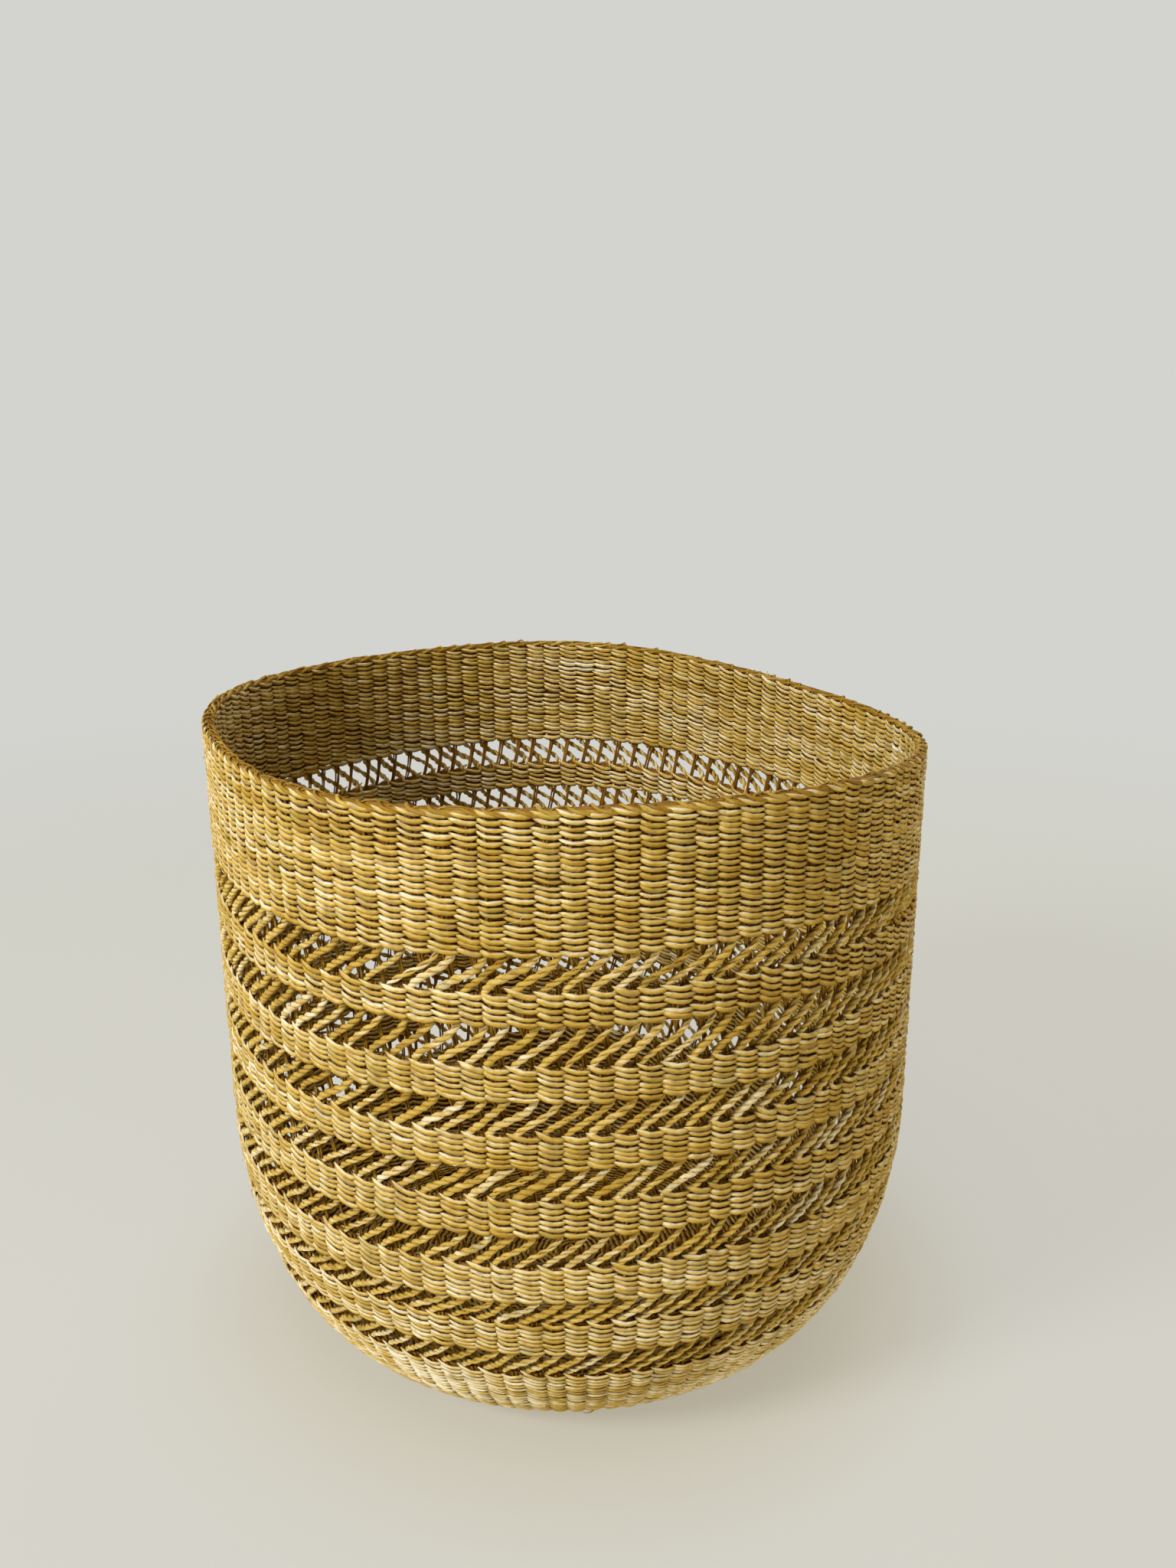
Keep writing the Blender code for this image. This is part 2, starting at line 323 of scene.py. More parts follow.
class Strand:
    """A straight strand along X with a round section, modelled once and laid many times."""

    def __init__(self, sides, rings, repeats=1, closed=False, flat=False):
        bpy.ops.object.select_all(action="DESELECT")
        ends = "NOTHING" if closed or repeats > 1 else "TRIFAN"
        bpy.ops.mesh.primitive_cylinder_add(vertices=sides, radius=1.0, depth=1.0,
                                            end_fill_type=ends, location=(0.5, 0.0, 0.0),
                                            rotation=(0.0, math.pi / 2, 0.0))
        straight = bpy.context.object
        bpy.ops.object.transform_apply(location=True, rotation=True, scale=True)
        bpy.ops.object.mode_set(mode="EDIT")
        bpy.ops.mesh.select_all(action="DESELECT")
        # Its long edges are cut into the rings
        edit = bmesh.from_edit_mesh(straight.data)
        for edge in edit.edges:
            low, high = sorted(vertex.co.x for vertex in edge.verts)
            edge.select = high - low > 0.5
        bmesh.update_edit_mesh(straight.data)
        if rings > 1:
            bpy.ops.mesh.subdivide(number_cuts=rings - 1)
        bpy.ops.object.mode_set(mode="OBJECT")
        if repeats > 1:
            row = straight.modifiers.new("row", "ARRAY")
            row.count = repeats
            row.relative_offset_displace = (1.0, 0.0, 0.0)
            row.use_merge_vertices = True
            row.merge_threshold = 0.1 / rings
            bpy.ops.object.modifier_apply(modifier=row.name)
        self.closed = closed
        self.turned = math.pi / sides if flat else 0.0
        self.read(straight.data, sides, rings, rings * repeats)
        mesh = straight.data
        bpy.data.objects.remove(straight, do_unlink=True)
        bpy.data.meshes.remove(mesh)

    def read(self, mesh, sides, rings, total):
        """Takes the straight strand's vertices and faces as arrays."""
        places = np.empty(len(mesh.vertices) * 3)
        mesh.vertices.foreach_get("co", places)
        places = places.reshape(-1, 3)
        corners = np.empty(len(mesh.loops), dtype=np.int64)
        mesh.loops.foreach_get("vertex_index", corners)
        starts = np.empty(len(mesh.polygons), dtype=np.int64)
        mesh.polygons.foreach_get("loop_start", starts)
        ring = np.rint(places[:, 0] * rings).astype(int)
        around = np.mod(np.arctan2(places[:, 2], places[:, 1]), math.tau)

        # The last ring of a closed strand is its first one
        keep = np.ones(len(places), dtype=bool)
        target = np.arange(len(places))
        if self.closed:
            slots = np.rint(around / math.tau * sides).astype(int) % sides
            first = {slots[i]: i for i in np.flatnonzero(ring == 0)}
            for i in np.flatnonzero(ring == total):
                keep[i] = False
                target[i] = first[slots[i]]
        order = np.cumsum(keep) - 1
        self.ring = ring[keep]
        self.around = around[keep]
        self.side = np.hypot(places[:, 1], places[:, 2])[keep]
        self.corners = order[target[corners]]
        self.starts = starts
        self.along = np.arange(total if self.closed else total + 1) / rings

        # A face across the seam of the section has its low corners one turn further on
        corner_around = around[corners]
        face = np.repeat(np.arange(len(starts)), np.diff(np.append(starts, len(corners))))
        low = np.full(len(starts), math.inf)
        np.minimum.at(low, face, corner_around)
        high = np.full(len(starts), -math.inf)
        np.maximum.at(high, face, corner_around)
        wraps = (high - low > math.pi)[face] & (corner_around < math.pi / 2)
        corner_around = np.where(wraps, corner_around + math.tau, corner_around)
        self.corner_along = ring[corners] / rings
        self.corner_around = corner_around / math.tau + self.turned / math.tau

    def lay(self, centres, facing, wide, thick):
        """Copies of the strand along paths: (copies, rings, 3) centres and outward directions,
        with half the width across and half the thickness along the outward direction."""
        if self.closed:
            ahead = np.roll(centres, -1, axis=1) - np.roll(centres, 1, axis=1)
        else:
            ahead = np.gradient(centres, axis=1)
        ahead /= np.linalg.norm(ahead, axis=2, keepdims=True)
        across = np.cross(ahead, facing)
        across /= np.linalg.norm(across, axis=2, keepdims=True)
        outward = np.cross(across, ahead)
        at = self.ring
        turn = self.around[None, :, None] + self.turned
        reach = self.side[None, :, None]
        return centres[:, at] + reach * (
            outward[:, at] * np.cos(turn) * thick[:, at, None]
            + across[:, at] * np.sin(turn) * wide[:, at, None])


class Bundle:
    """Strands that make up one piece, gathered before their mesh is made."""

    FIBRE_STEP = 3.7         # keeps the fibre patterns of two copies apart

    def __init__(self):
        self.points, self.corners, self.starts = [], [], []
        self.uvs, self.values = [], {}
        self.vertex_count = self.corner_count = 0

    # Among the values, tuck sets how much of the painted crevice shade a strand takes
    def add(self, strand, points, uv_scale, **values):
        """Adds copies of a strand with values for every copy and ring, such as their tone."""
        copies, size = points.shape[:2]
        number = np.arange(copies)[:, None]
        self.points.append(points.reshape(-1, 3))
        self.corners.append((strand.corners + number * size + self.vertex_count).ravel())
        self.starts.append(
            (strand.starts + number * len(strand.corners) + self.corner_count).ravel())
        along = strand.corner_along * uv_scale + number * self.FIBRE_STEP
        around = np.broadcast_to(strand.corner_around, along.shape)
        self.uvs.append(np.stack((along, around), axis=-1).reshape(-1, 2))
        for name, value in values.items():
            value = np.broadcast_to(value, (copies, len(strand.along)))
            self.values.setdefault(name, []).append(value[:, strand.ring].ravel())
        self.vertex_count += copies * size
        self.corner_count += copies * len(strand.corners)

    def make(self, name, material, node):
        """The piece itself, which stands for a node of the frame."""
        mesh = bpy.data.meshes.new(name)
        points = np.concatenate(self.points)
        corners = np.concatenate(self.corners)
        starts = np.concatenate(self.starts)
        mesh.vertices.add(len(points))
        mesh.vertices.foreach_set("co", points.ravel())
        mesh.loops.add(len(corners))
        mesh.loops.foreach_set("vertex_index", corners)
        mesh.polygons.add(len(starts))
        mesh.polygons.foreach_set("loop_start", starts)
        mesh.polygons.foreach_set("use_smooth", np.ones(len(starts), dtype=bool))
        mesh.update(calc_edges=True)
        mesh.uv_layers.new(name="along").data.foreach_set("uv", np.concatenate(self.uvs).ravel())
        for key, parts in self.values.items():
            layer = mesh.attributes.new(key, "FLOAT", "POINT")
            layer.data.foreach_set("value", np.concatenate(parts))
        piece = bpy.data.objects.new(name, mesh)
        bpy.context.scene.collection.objects.link(piece)
        mesh.materials.append(material)
        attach(piece, "root")
        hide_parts(node)


# The weave


def by_stitch(values, along):
    """Values of the stitches, blended from each one to the next."""
    left = np.floor(along).astype(int)
    share = np.sin((along - left) * math.pi / 2) ** 2
    count = values.shape[-1]
    return values[:, left % count] * (1 - share) + values[:, (left + 1) % count] * share


def new_straws(rng, rows, count, length):
    """Tone of each stitch: a new straw with its own tone comes in every few stitches."""
    tones = np.empty((rows, count))
    for row in range(rows):
        at = 0
        while at < count:
            run = int(rng.integers(length // 2, length * 2))
            tones[row, at:at + run] = rng.normal()
            at += run
    return tones


def through(along, steps):
    """A smooth way through places given as (share of the way, value)."""
    shares = [share for share, value in steps]
    values = [value for share, value in steps]
    nearby = (-0.04, 0.0, 0.04)
    return sum(np.interp(along + shift, shares, values) for shift in nearby) / len(nearby)


def stitched(bundle, rng, strand, courses, stakes, inside, size, leaning, reach):
    """One face of the weave. A stitch comes out above its row, falls to it along the way like
    the side of a boat, and goes in under the high end of the next one. Each stake has its own
    leaning, and each row its own size and reach."""
    rows = len(courses)
    shape = (rows, stakes, 1)
    along = strand.along - 0.05 * np.sin(math.tau * strand.along) / math.tau
    plump = vary(rng, 1.0, 0.10, shape) + 0.06 * drift(rng, shape[:2], 2.0)[..., None]
    slant = vary(rng, leaning, LEANING_SCATTER[1], (rows, stakes)) * reach
    lift = vary(rng, 0.0, STITCH_SCATTER, shape)
    start = vary(rng, STITCH_REACH[0], REACH_SCATTER, shape)
    end = vary(rng, STITCH_REACH[1], REACH_SCATTER, shape)
    sag = vary(rng, 1.0, 0.25, shape)

    fall = slant[..., None] * TIP_RISE * ((1.0 - along) ** 1.6 - 0.12)
    fall = fall + BOAT_SAG * sag * ((2.0 * along - 1.0) ** 2 - 0.45)
    fall = fall + END_LIFT * np.maximum(2.0 * along - 1.0, 0.0) ** 1.5
    depth = vary(rng, CREST + STITCH_THICK + through(along, STITCH_DEPTH), DEPTH_SCATTER, shape)
    depth = np.maximum(depth, STITCH_THICK)
    full = through(along, STITCH_FULLNESS)
    wide = STITCH_WIDE * plump * size[..., None] * full
    thick = STITCH_THICK * (0.45 + 0.55 * full) * np.ones(shape)

    offset = start + (end - start) * along
    stake = np.arange(stakes)[None, :, None]
    position = (stake + (-offset if inside else offset)) * STAKES / stakes
    course = courses[:, None, None] + lift + fall - inside * ROW_PITCH / 2
    inset = WALL_THICKNESS - depth if inside else depth
    flat = (rows * stakes, len(along))
    position, course, inset = position.reshape(flat), course.reshape(flat), inset.reshape(flat)
    centres = placed(position, course, inset)
    facing = outwards(position, course, inset) * (-1.0 if inside else 1.0)
    points = strand.lay(centres, facing, wide.reshape(flat), thick.reshape(flat))
    tone = 0.5 * new_straws(rng, rows, stakes, STRAW_RUN)
    tone = tone + 0.4 * rng.standard_normal((rows, stakes))
    # The inside face of the weave is painted darker, as painted shade
    tone = tone.reshape(-1, 1) + through(along, STITCH_PAINTED_LIGHT) + 0.35 * inside
    bundle.add(strand, points, 2.4, tone=tone, hue=rng.standard_normal((rows * stakes, 1)),
               tuck=through(along, STITCH_TUCK))


def twined(bundle, rng, faces, core, courses, stakes, rise=1.0, over_opening=False,
           under_opening=False):
    """Rows of twined weave: a stitch over every stake of every row on both faces of the wall,
    and a flat straw between the faces. The rows next to an opening are stouter."""
    rows = len(courses)
    size = np.ones((rows, 1))
    reach = np.full((rows, 1), rise)
    raised = np.full((rows, 1), CORE_RAISED)
    if over_opening:
        size[0] = OVER_OPENING_SIZE
    if under_opening:
        size[-1] = UNDER_OPENING_SIZE
        reach[-1] *= UNDER_OPENING_RISE
        raised[-1] = CORE_HIDDEN
    leaning = vary(rng, 1.0, LEANING_SCATTER[0], (1, stakes))
    for inside, strand in enumerate(faces):
        stitched(bundle, rng, strand, courses, stakes, inside, size, leaning, reach)
    position = core.along[None, :] * STAKES / stakes + 0.5 + np.zeros((rows, 1))
    course = vary(rng, courses[:, None] + raised, CORE_SCATTER, position.shape)
    inset = np.full_like(course, MIDDLE)
    half = np.full_like(course, CORE_HALF)
    points = core.lay(placed(position, course, inset), outwards(position, course, inset),
                      2.0 * half, 0.6 * half)
    # The core straw is painted all in the crevice colour, as painted shade in the slits between the
    # rows
    bundle.add(core, points, 2.4, tone=1.0, hue=0.0, tuck=1.2)


def loose_ends(bundle, rng, strand, courses):
    """Hairs and broken ends of straws, which stand a little off both faces of the weave."""
    count = max(len(courses) * STAKES // STITCHES_TO_A_HAIR, FEWEST_HAIRS)
    along = strand.along[None, :]
    shape = (count, 1)
    position = rng.uniform(0.0, STAKES, shape) + rng.choice((-1.0, 1.0), shape) * (
        rng.uniform(0.15, 0.75, shape) * along)
    course = rng.choice(courses, shape) + rng.normal(0.0, HAIR_FALL, shape) * along ** 1.4
    course = np.maximum(course, HAIR_LOWEST)
    inset = HAIR_DEPTH - rng.uniform(0.0003, 0.0014, shape) * np.sin(2.4 * along)
    inside = rng.random(shape) < SHARE_INSIDE
    inset = np.where(inside, WALL_THICKNESS - inset, inset)
    half = rng.choice(HAIR_HALVES, shape) * (1.0 - 0.5 * along)
    centres = placed(position, course, inset)
    points = strand.lay(centres, outwards(position, course, inset), half, half)
    bundle.add(strand, points, 1.0, tone=-1.2, hue=0.0, tuck=0.0)


def ropes(bundle, rng, strand, low, high, stoutness):
    """Two-ply ropes of an open band, which lean over two stakes on their way up."""
    start, end = course_at(low) - ROPE_ROOT, course_at(high) + ROPE_ROOT
    along = strand.along[None, :]
    first = np.arange(STAKES)[:, None] + 0.5
    ease = along - 0.48 * np.sin(math.tau * along) / math.tau
    lean = vary(rng, ROPE_LEAN, 0.10)
    bow = vary(rng, 0.0, 0.08) * np.sin(math.pi * along)
    position = first + lean * ease + bow
    course = start + (end - start) * along + np.zeros((STAKES, 1))
    inset = vary(rng, ROPE_DEPTH - ROPE_BULGE * np.sin(math.pi * along) ** 0.8, ROPE_SCATTER)
    axis = placed(position, course, inset)
    ahead = np.gradient(axis, axis=1)
    ahead /= np.linalg.norm(ahead, axis=2, keepdims=True)
    outward = outwards(position, course, inset)
    outward /= np.linalg.norm(outward, axis=2, keepdims=True)
    across = np.cross(ahead, outward)
    twist = ROPE_TWISTS * vary(rng, 1.0, 0.14)
    phase = rng.uniform(0.0, math.tau, (STAKES, 1))
    stout = stoutness * vary(rng, 1.0, 0.10)
    stout = stout * (0.78 + 0.22 * np.minimum(np.sin(math.pi * along) * 2.4, 1.0))
    tone = vary(rng, 0.0, 0.6)
    hue = vary(rng, 0.0, 0.7)
    for ply in range(2):
        turn = phase + math.tau * twist * along + math.pi * ply
        away = outward * np.cos(turn)[..., None] + across * np.sin(turn)[..., None]
        share = vary(rng, 1.0, 0.09)
        centres = axis + away * (PLY_OFFSET * stout)[..., None]
        half = PLY_RADIUS * stout * share
        points = strand.lay(centres, away, half, half * 0.88)
        bundle.add(strand, points, 2.6, tone=vary(rng, tone, 0.5), hue=hue, tuck=0.05)


def stake_straws(bundle, rng, strand, low, middle, high):
    """Straws of the stakes, which cross an open band inside and go up through the weave above:
    a pair in the open with a third behind it, and three side by side in the weave."""
    start, turn, end = course_at(low) - STRAW_ROOT, course_at(middle), course_at(high)
    along = strand.along[None, :]
    lower = np.clip(2.0 * along, 0.0, 1.0)
    upper = np.clip(2.0 * along - 1.0, 0.0, 1.0)
    course = start + (turn - start) * lower + (end - turn) * upper + np.zeros((STAKES, 1))
    open_part = np.sin(math.pi * np.clip((course - start) / (turn - start), 0.0, 1.0))
    whole = vary(rng, np.arange(STAKES)[:, None], 0.06)
    woven = np.clip((course - turn) / 0.004 + 1.0, 0.0, 1.0)
    for side in (-1.0, 0.0, 1.0):
        spread = vary(rng, side * (STRAW_GAP_OPEN + STRAW_GAP_WOVEN * woven), 0.02)
        position = whole + STRAW_LEAN * (lower - 1.0) + spread
        inset = vary(rng, MIDDLE + STRAW_BULGE * open_part ** 0.6, 0.0002)
        if side == 0.0:
            position = position - STRAW_GAP_OPEN * (1.0 - woven)
            inset = inset - 0.0009 * woven + 0.0006 * (1.0 - woven)
        half = vary(rng, STRAW_HALF, 0.00005) * (1.0 + 0.3 * woven)
        centres = placed(position, course, inset)
        points = strand.lay(centres, outwards(position, course, inset), half, half)
        tone, hue = vary(rng, 0.0, 0.7), vary(rng, 0.0, 0.7)
        # The stake straws take part of the painted crevice shade, a little more up in the weave
        bundle.add(strand, points, 2.0, tone=tone, hue=hue, tuck=0.34 + 0.10 * (upper > 0.08))


# The border


def rim_facing(centres, position, course):
    """Direction of straws of the rim away from a circle in the wall under them."""
    return centres - placed(position, np.full_like(position, course),
                            np.full_like(position, MIDDLE))


def border_leaves(bundle, rng, strand):
    """The end of every stake, turned over the rim and laid along the outside of the next."""
    top = course_at(WALL_HEIGHT)
    along = strand.along[None, :]
    whole = vary(rng, np.arange(STAKES)[:, None], 0.10)
    high = (rng.random((STAKES, 1)) < HIGH_LEAVES) * 1.0
    crest = np.exp(-((along - LEAF_FOLD) / LEAF_FOLD_LENGTH) ** 2)
    course = top + through(along, LEAF_HEIGHT) + crest * (vary(rng, 0.0, 0.0003) + HIGH_LEAF * high)
    course = vary(rng, course, 0.0002)
    inset = through(along, LEAF_DEPTH) + np.zeros((STAKES, 1))
    position = whole + through(along, LEAF_WAY)
    full = through(along, LEAF_FULLNESS)
    half = LEAF_HALF * full * vary(rng, 1.0, 0.10)
    centres = placed(position, course, inset)
    points = strand.lay(centres, rim_facing(centres, position, top - 0.0006),
                        half, half * (0.85 - 0.25 * full))
    tone, hue = vary(rng, 0.0, 0.8), vary(rng, 0.0, 0.8)
    # The end of a leaf, where it goes under the rim, takes painted shade
    bundle.add(strand, points, 5.0, tone=tone, hue=hue, tuck=0.05 + 0.5 * (along > 0.9))


def border_loops(bundle, rng, strand):
    """A second straw of every stake, laid back along the inner edge of the rim."""
    top = course_at(WALL_HEIGHT)
    along = strand.along[None, :]
    whole = vary(rng, np.arange(STAKES)[:, None], 0.10)
    course = vary(rng, top + through(along, LOOP_HEIGHT), 0.0003)
    inset = through(along, LOOP_DEPTH) + np.zeros((STAKES, 1))
    position = whole + through(along, LOOP_WAY)
    half = LOOP_HALF * vary(rng, 1.0, 0.12) * through(along, LOOP_FULLNESS)
    centres = placed(position, course, inset)
    points = strand.lay(centres, rim_facing(centres, position, top - 0.0012),
                        half * 1.1, half * 0.8)
    tone, hue = vary(rng, 0.0, 0.8), vary(rng, 0.0, 0.8)
    bundle.add(strand, points, 4.0, tone=tone, hue=hue, tuck=0.12)


def border_core(bundle, rng, strand):
    """Two straws that run inside the rim and fill it."""
    top = course_at(WALL_HEIGHT)
    along = strand.along[None, :]
    for inset, drop, half in BORDER_CORES:
        course = np.full_like(along, top - drop)
        depth = inset + 0.0002 * by_stitch(rng.standard_normal((1, STAKES)), along[0])
        wide = half * by_stitch(vary(rng, 1.0, 0.08, (1, STAKES)), along[0])
        centres = placed(along, course, depth)
        points = strand.lay(centres, outwards(along, course, depth), wide, wide)
        tone = by_stitch(vary(rng, 0.0, 0.6, (1, STAKES)), along[0])
        bundle.add(strand, points, 4.0, tone=tone, hue=0.0, tuck=0.12)


# The finishes


class Signal:
    """A socket of a finish. Python sums and products of signals add its Math nodes."""

    def __init__(self, nodes, socket):
        self.nodes = nodes
        self.socket = socket

    def __add__(self, other):
        return self.nodes.maths("ADD", self, other)

    def __radd__(self, other):
        return self.nodes.maths("ADD", other, self)

    def __sub__(self, other):
        return self.nodes.maths("SUBTRACT", self, other)

    def __rsub__(self, other):
        return self.nodes.maths("SUBTRACT", other, self)

    def __mul__(self, other):
        return self.nodes.maths("MULTIPLY", self, other)

    def __rmul__(self, other):
        return self.nodes.maths("MULTIPLY", other, self)


class Nodes:
    """The nodes of a material or of the world, written as expressions."""

    def __init__(self, tree):
        self.tree = tree

    def node(self, kind, settings=None, sockets=None, output=0):
        """A new node with its settings, and values or links for its sockets."""
        node = self.tree.nodes.new(kind)
        for name, value in (settings or {}).items():
            if name == "stops":
                ramp = node.color_ramp.elements
                while len(ramp) < len(value):
                    ramp.new(0.5)
                for stop, (at, colour) in zip(ramp, value):
                    stop.position = at
                    stop.color = (*colour, 1.0)
            else:
                setattr(node, name, value)
        for key, value in (sockets or {}).items():
            self.link(value, node.inputs[key])
        return Signal(self, node.outputs[output]) if node.outputs else None

    def link(self, value, socket):
        """Feeds a socket with a signal or a plain value."""
        if isinstance(value, Signal):
            self.tree.links.new(value.socket, socket)
        else:
            socket.default_value = value

    def maths(self, operation, *values):
        """A Math node on signals or numbers."""
        return self.node("ShaderNodeMath", {"operation": operation}, dict(enumerate(values)))

    def seen(self):
        """1 on the rays that show a thing, straight or in a gloss, and 0 on those that light."""
        camera, gloss, clear = [self.node("ShaderNodeLightPath", output=f"Is {ray} Ray")
                                for ray in ("Camera", "Glossy", "Transmission")]
        return self.maths("MAXIMUM", self.maths("MAXIMUM", camera, gloss), clear)


class Finish(Nodes):
    """A material with its shader."""

    def __init__(self, name):
        self.material = bpy.data.materials.new(name)
        self.material.use_nodes = True
        super().__init__(self.material.node_tree)
        self.shader = self.tree.nodes["Principled BSDF"]

    def value(self, name):
        """A value that the strands carry."""
        return self.node("ShaderNodeAttribute", {"attribute_name": name}, output=2)

    def noise(self, vector, scale, detail, roughness=0.5):
        """Cloudy values about a half."""
        return self.node("ShaderNodeTexNoise", {}, {
            "Vector": vector, "Scale": scale, "Detail": detail, "Roughness": roughness})

    def between(self, value, low, high, least, most, way="LINEAR"):
        """A value from low to high, made one from least to most."""
        return self.node("ShaderNodeMapRange", {"interpolation_type": way}, {
            "Value": value, "From Min": low, "From Max": high, "To Min": least, "To Max": most})

    def blend(self, share, colour, other):
        """A colour that gives way to another one by a share."""
        return self.node("ShaderNodeMix", {"data_type": "RGBA"},
                         {0: share, 6: colour, 7: other}, output=2)

    def set(self, **sockets):
        """Feeds sockets of the shader, named with _ for a space."""
        for name, value in sockets.items():
            socket = name.replace("_", " ").title().replace("Ior", "IOR")
            self.link(value, self.shader.inputs[socket])


def straw_finish(name, darker=0.0, patches=1.0, lying=1.0):
    """Dry grass: its own tone for every straw, fine fibres along it, brown and olive patches,
    painted shade where it is tucked in and on its side towards the inside of the wall. Straws that
    lie have a painted highlight on their top side and painted shade on their under side."""
    finish = Finish(name)
    tone, hue, tuck = finish.value("tone"), finish.value("hue"), finish.value("tuck")
    along = finish.node("ShaderNodeUVMap", {"uv_map": "along"})
    place = finish.node("ShaderNodeTexCoord", output=3)
    coarse = finish.node("ShaderNodeMapping", {}, {"Vector": along, "Scale": (1.5, 11.0, 1.0)})
    fine = finish.node("ShaderNodeMapping", {}, {"Vector": along, "Scale": (2.4, 30.0, 1.0)})
    fibre = finish.noise(coarse, 1.0, 3.0, 0.6)
    hair = finish.noise(fine, 1.0, 2.0)
    patch = finish.noise(place, 150.0, 2.0, 0.55)
    moss = finish.noise(place, 85.0, 1.5)
    wide = finish.noise(place, 24.0, 1.0)
    around = finish.node("ShaderNodeSeparateXYZ", {}, {0: along}, output=1) * math.tau
    below = finish.maths("SINE", around)
    inner = 0.5 - 0.5 * finish.maths("COSINE", around)

    # Lying straws get a painted highlight on their top side and painted shade on their under side
    shade = (0.52 + darker + 0.095 * tone + (fibre - 0.5) * 0.50 + (wide - 0.5) * 0.22
             + (patch - 0.5) * 0.36 + below * (0.24 * lying))
    colour = finish.node("ShaderNodeValToRGB", {"stops": (
        (0.15, PALE), (0.41, GOLD), (0.66, TAN), (0.95, BROWN))}, {"Fac": shade})
    spots = finish.between(patch + 0.060 * hue, 0.58, 0.72, 0.0, 0.50 * patches)
    colour = finish.blend(spots, colour, (*MAUVE, 1.0))
    green = finish.between(moss - 0.065 * hue, 0.60, 0.74, 0.0, 0.45)
    colour = finish.blend(green, colour, (*OLIVE, 1.0))
    # Painted shade: the crevice colour where a straw is tucked into the weave, on its side that
    # faces into the wall, and on the under side of lying straws
    hidden = tuck * 0.85 + inner * 0.55 + below * (0.34 * lying)
    painted_shade = finish.between(hidden, 0.32, 1.0, 0.0, 0.95)
    colour = finish.blend(painted_shade, colour, (*CREVICE, 1.0))
    normal = finish.node("ShaderNodeBump", {}, {
        "Strength": 0.7, "Distance": 0.0005, "Height": fibre * 0.6 + hair * 0.4})
    finish.set(base_color=colour, roughness=0.55 + (hair - 0.5) * 0.30, normal=normal,
               specular_ior_level=0.08)
    return finish.material


# The basket


def make_piece(name, finish, node, slot, seed, lay, *details):
    """A piece of one kind of strands, laid by one of the functions above."""
    bundle = Bundle()
    lay(bundle, np.random.default_rng(seed), *details)
    bundle.make(name, finish, node)


def closed_bands(finish):
    """A function that makes closed bands, which all share their strands."""
    faces = (Strand(sides=5, rings=6, flat=True), Strand(sides=4, rings=5))
    core = Strand(sides=4, rings=1, repeats=STAKES, closed=True)
    hair = Strand(sides=3, rings=5)

    def closed_band(name, courses, node, seed, **rows):
        bundle = Bundle()
        twined(bundle, np.random.default_rng(seed), faces, core, courses, STAKES, **rows)
        loose_ends(bundle, np.random.default_rng(seed + 50), hair, courses)
        bundle.make(name, finish, node)

    return closed_band


def woven_floor():
    """The round floor, with fewer stakes towards its middle and more set in on the way out."""
    stitch = Strand(sides=4, rings=4)
    courses = np.linspace(-FLOOR_RADIUS + FLOOR_EYE, -FLOOR_EDGE, FLOOR_ROWS)
    bundle = Bundle()
    rng = np.random.default_rng(101)
    for stakes, low, high in FLOOR_RINGS:
        core = Strand(sides=4, rings=1, repeats=stakes, closed=True)
        twined(bundle, rng, (stitch, stitch), core,
               courses[(courses >= low) & (courses < high)], stakes, rise=FLOOR_RISE)
    bundle.make("floor_weave", straw_finish("base_straw", darker=0.04), "base_disc")


def woven_wall():
    """The foot, the hoops with the open bands between them, and the tall upper band."""
    closed_band = closed_bands(straw_finish("wall_straw"))
    # The ropes are painted lighter all over, in place of the painted highlight on the tops of lying
    # straws
    rope_straw = straw_finish("rope_straw", darker=-0.09, patches=0.6, lying=0.15)
    # The straws of the stakes inside the wall are painted darker, as painted shade
    inner_straw = straw_finish("inner_straw", darker=0.24, patches=0.6, lying=0.0)
    ply = Strand(sides=4, rings=20)
    straw = Strand(sides=4, rings=7)

    courses = band_courses(MIDDLE, FOOT_HEIGHT)
    third = len(courses) // 3
    closed_band("foot_weave_lower", courses[:third], "foot_band", 201, rise=FOOT_RISE)
    closed_band("foot_weave_middle", courses[third:2 * third], "foot_band", 202, rise=FOOT_RISE)
    closed_band("foot_weave_upper", courses[2 * third:], "foot_band", 203, rise=FOOT_RISE,
                under_opening=True)
    make_piece("foot_straws", inner_straw, "foot_band", "wall_straw", 400,
               stake_straws, straw, *FOOT_STRAWS, FOOT_HEIGHT)

    node = "foot_band"
    low = FOOT_HEIGHT
    bands = (*HOOP_HEIGHTS, UPPER_BAND_HEIGHT)
    for number, (opening, band) in enumerate(zip(OPEN_HEIGHTS, bands), start=1):
        middle = low + opening
        high = middle + band
        stoutness = ROPE_THINNEST + (1.0 - ROPE_THINNEST) * min(number / len(HOOP_HEIGHTS), 1.0)
        make_piece(f"open_ropes_{number}", rope_straw, node, "wall_straw", 300 + number,
                   ropes, ply, low, middle, stoutness)
        tall = number > len(HOOP_HEIGHTS)
        node = "upper_band" if tall else f"weave_band_{number}"
        make_piece(f"stake_straws_{number}", inner_straw, node, "wall_straw", 400 + number,
                   stake_straws, straw, low, middle, high)
        courses = band_courses(middle, high)
        if tall:
            half = len(courses) // 2
            closed_band("upper_weave_lower", courses[:half], node, 501, over_opening=True)
            closed_band("upper_weave_upper", courses[half:], node, 502)
        else:
            closed_band(f"hoop_weave_{number}", courses, node, 500 - number, rise=HOOP_RISE,
                        over_opening=True, under_opening=True)
        low = high


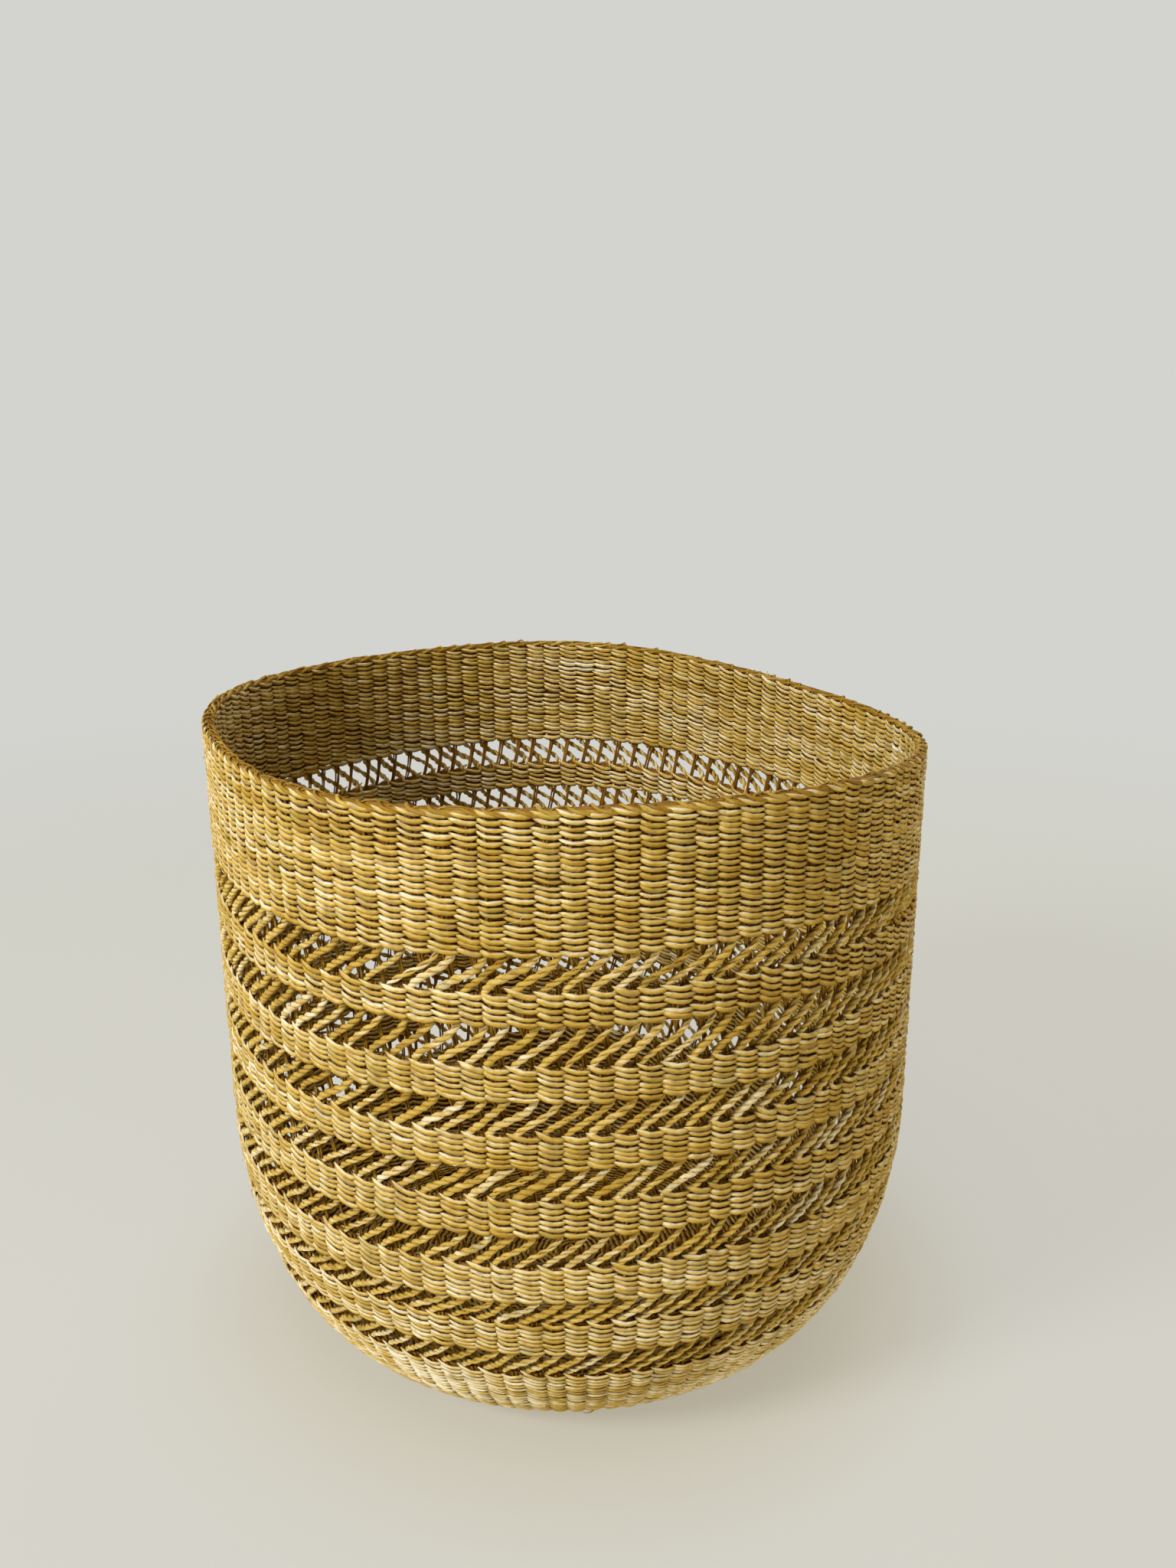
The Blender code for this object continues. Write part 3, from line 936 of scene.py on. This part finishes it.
def plaited_border():
    """The border of the rim: leaves outside, loops inside and two core straws between them."""
    border_straw = straw_finish("border_straw", darker=0.13, patches=0.5, lying=0.1)
    leaf = Strand(sides=6, rings=13, flat=True)
    rim = Strand(sides=6, rings=2, repeats=STAKES, closed=True)
    rng = np.random.default_rng(601)
    for name, build, strand in (("rim_leaves", border_leaves, leaf),
                                ("rim_loops", border_loops, leaf),
                                ("rim_core", border_core, rim)):
        bundle = Bundle()
        build(bundle, rng, strand)
        bundle.make(name, border_straw, "rim_border")


# The studio


def paper_floor():
    """A sheet of pale paper with a painted shadow, darker and warmer, close to the basket, and lost
    in the backdrop far off.
    """
    bpy.ops.object.select_all(action="DESELECT")
    bpy.ops.mesh.primitive_circle_add(vertices=96, radius=12.0, fill_type="NGON",
                                      location=(0.0, 0.0, 0.0))
    floor = bpy.context.object
    floor.name = "floor"
    bpy.ops.object.transform_apply(location=True, rotation=True, scale=True)
    paper = Finish("paper")
    paper.set(base_color=(*PAPER_COLOUR, 1.0), roughness=0.9)
    place = paper.node("ShaderNodeTexCoord", output=3)
    distance = paper.node("ShaderNodeVectorMath", {"operation": "LENGTH"}, {0: place}, output=1)
    near = paper.between(distance, 0.12, 0.25, 0.0, 1.0, "SMOOTHSTEP")
    far = paper.between(distance, 0.45, 1.6, 0.0, 1.0, "SMOOTHSTEP")
    colour = paper.blend(far, (*PAPER, 1.0), (*BACKDROP, 1.0))
    # Close to the basket the paper shows its painted shadow colour
    colour = paper.blend(near, (*PAINTED_SHADOW_PAPER, 1.0), colour)
    glow = paper.node("ShaderNodeEmission", {}, {"Color": colour, "Strength": 1.0})
    mix = paper.node("ShaderNodeMixShader", {}, {
        0: (0.79 + 0.07 * near + 0.14 * far) * paper.seen(),
        1: Signal(paper, paper.shader.outputs[0]), 2: glow})
    paper.link(mix, paper.tree.nodes["Material Output"].inputs["Surface"])
    floor.data.materials.append(paper.material)


def pale_world():
    """The pale backdrop, and the weak warm fill light that comes from all round."""
    world = bpy.context.scene.world or bpy.data.worlds.new("world")
    bpy.context.scene.world = world
    world.use_nodes = True
    world.node_tree.nodes.clear()
    sky = Nodes(world.node_tree)
    fill = sky.node("ShaderNodeBackground", {}, {
        "Color": (*FILL_COLOUR, 1.0), "Strength": FILL_STRENGTH})
    backdrop = sky.node("ShaderNodeBackground", {}, {"Color": (*BACKDROP, 1.0)})
    mix = sky.node("ShaderNodeMixShader", {}, {0: sky.seen(), 1: fill, 2: backdrop})
    sky.node("ShaderNodeOutputWorld", {}, {"Surface": mix})


def soft_lamps():
    """Large soft lamps: the window from the left, and weaker ones that lift the shade."""
    for name, at, aim, size, power, colour in LAMPS:
        lamp = bpy.data.lights.new(name, "AREA")
        lamp.shape = "DISK"
        lamp.size = size
        lamp.energy = power
        lamp.color = colour
        holder = bpy.data.objects.new(name, lamp)
        holder.location = at
        holder.rotation_euler = (Vector(aim) - Vector(at)).to_track_quat("-Z", "Y").to_euler()
        bpy.context.scene.collection.objects.link(holder)


def photo_camera():
    """The camera of the photograph."""
    camera = bpy.data.cameras.new("camera")
    camera.sensor_width = SENSOR
    camera.lens = FOCAL_PIXELS * SENSOR / PHOTO_HEIGHT
    eye = bpy.data.objects.new("camera", camera)
    bpy.context.scene.collection.objects.link(eye)
    tilt = Euler((math.pi / 2 - CAMERA_TILT, 0.0, 0.0)).to_matrix()
    roll = Matrix.Rotation(CAMERA_ROLL, 3, "Z")
    eye.rotation_euler = (tilt @ roll).to_euler()
    eye.location = CAMERA_AT
    bpy.context.scene.camera = eye
    bpy.context.scene.view_settings.view_transform = "Standard"


woven_floor()
woven_wall()
plaited_border()
paper_floor()
pale_world()
soft_lamps()
photo_camera()
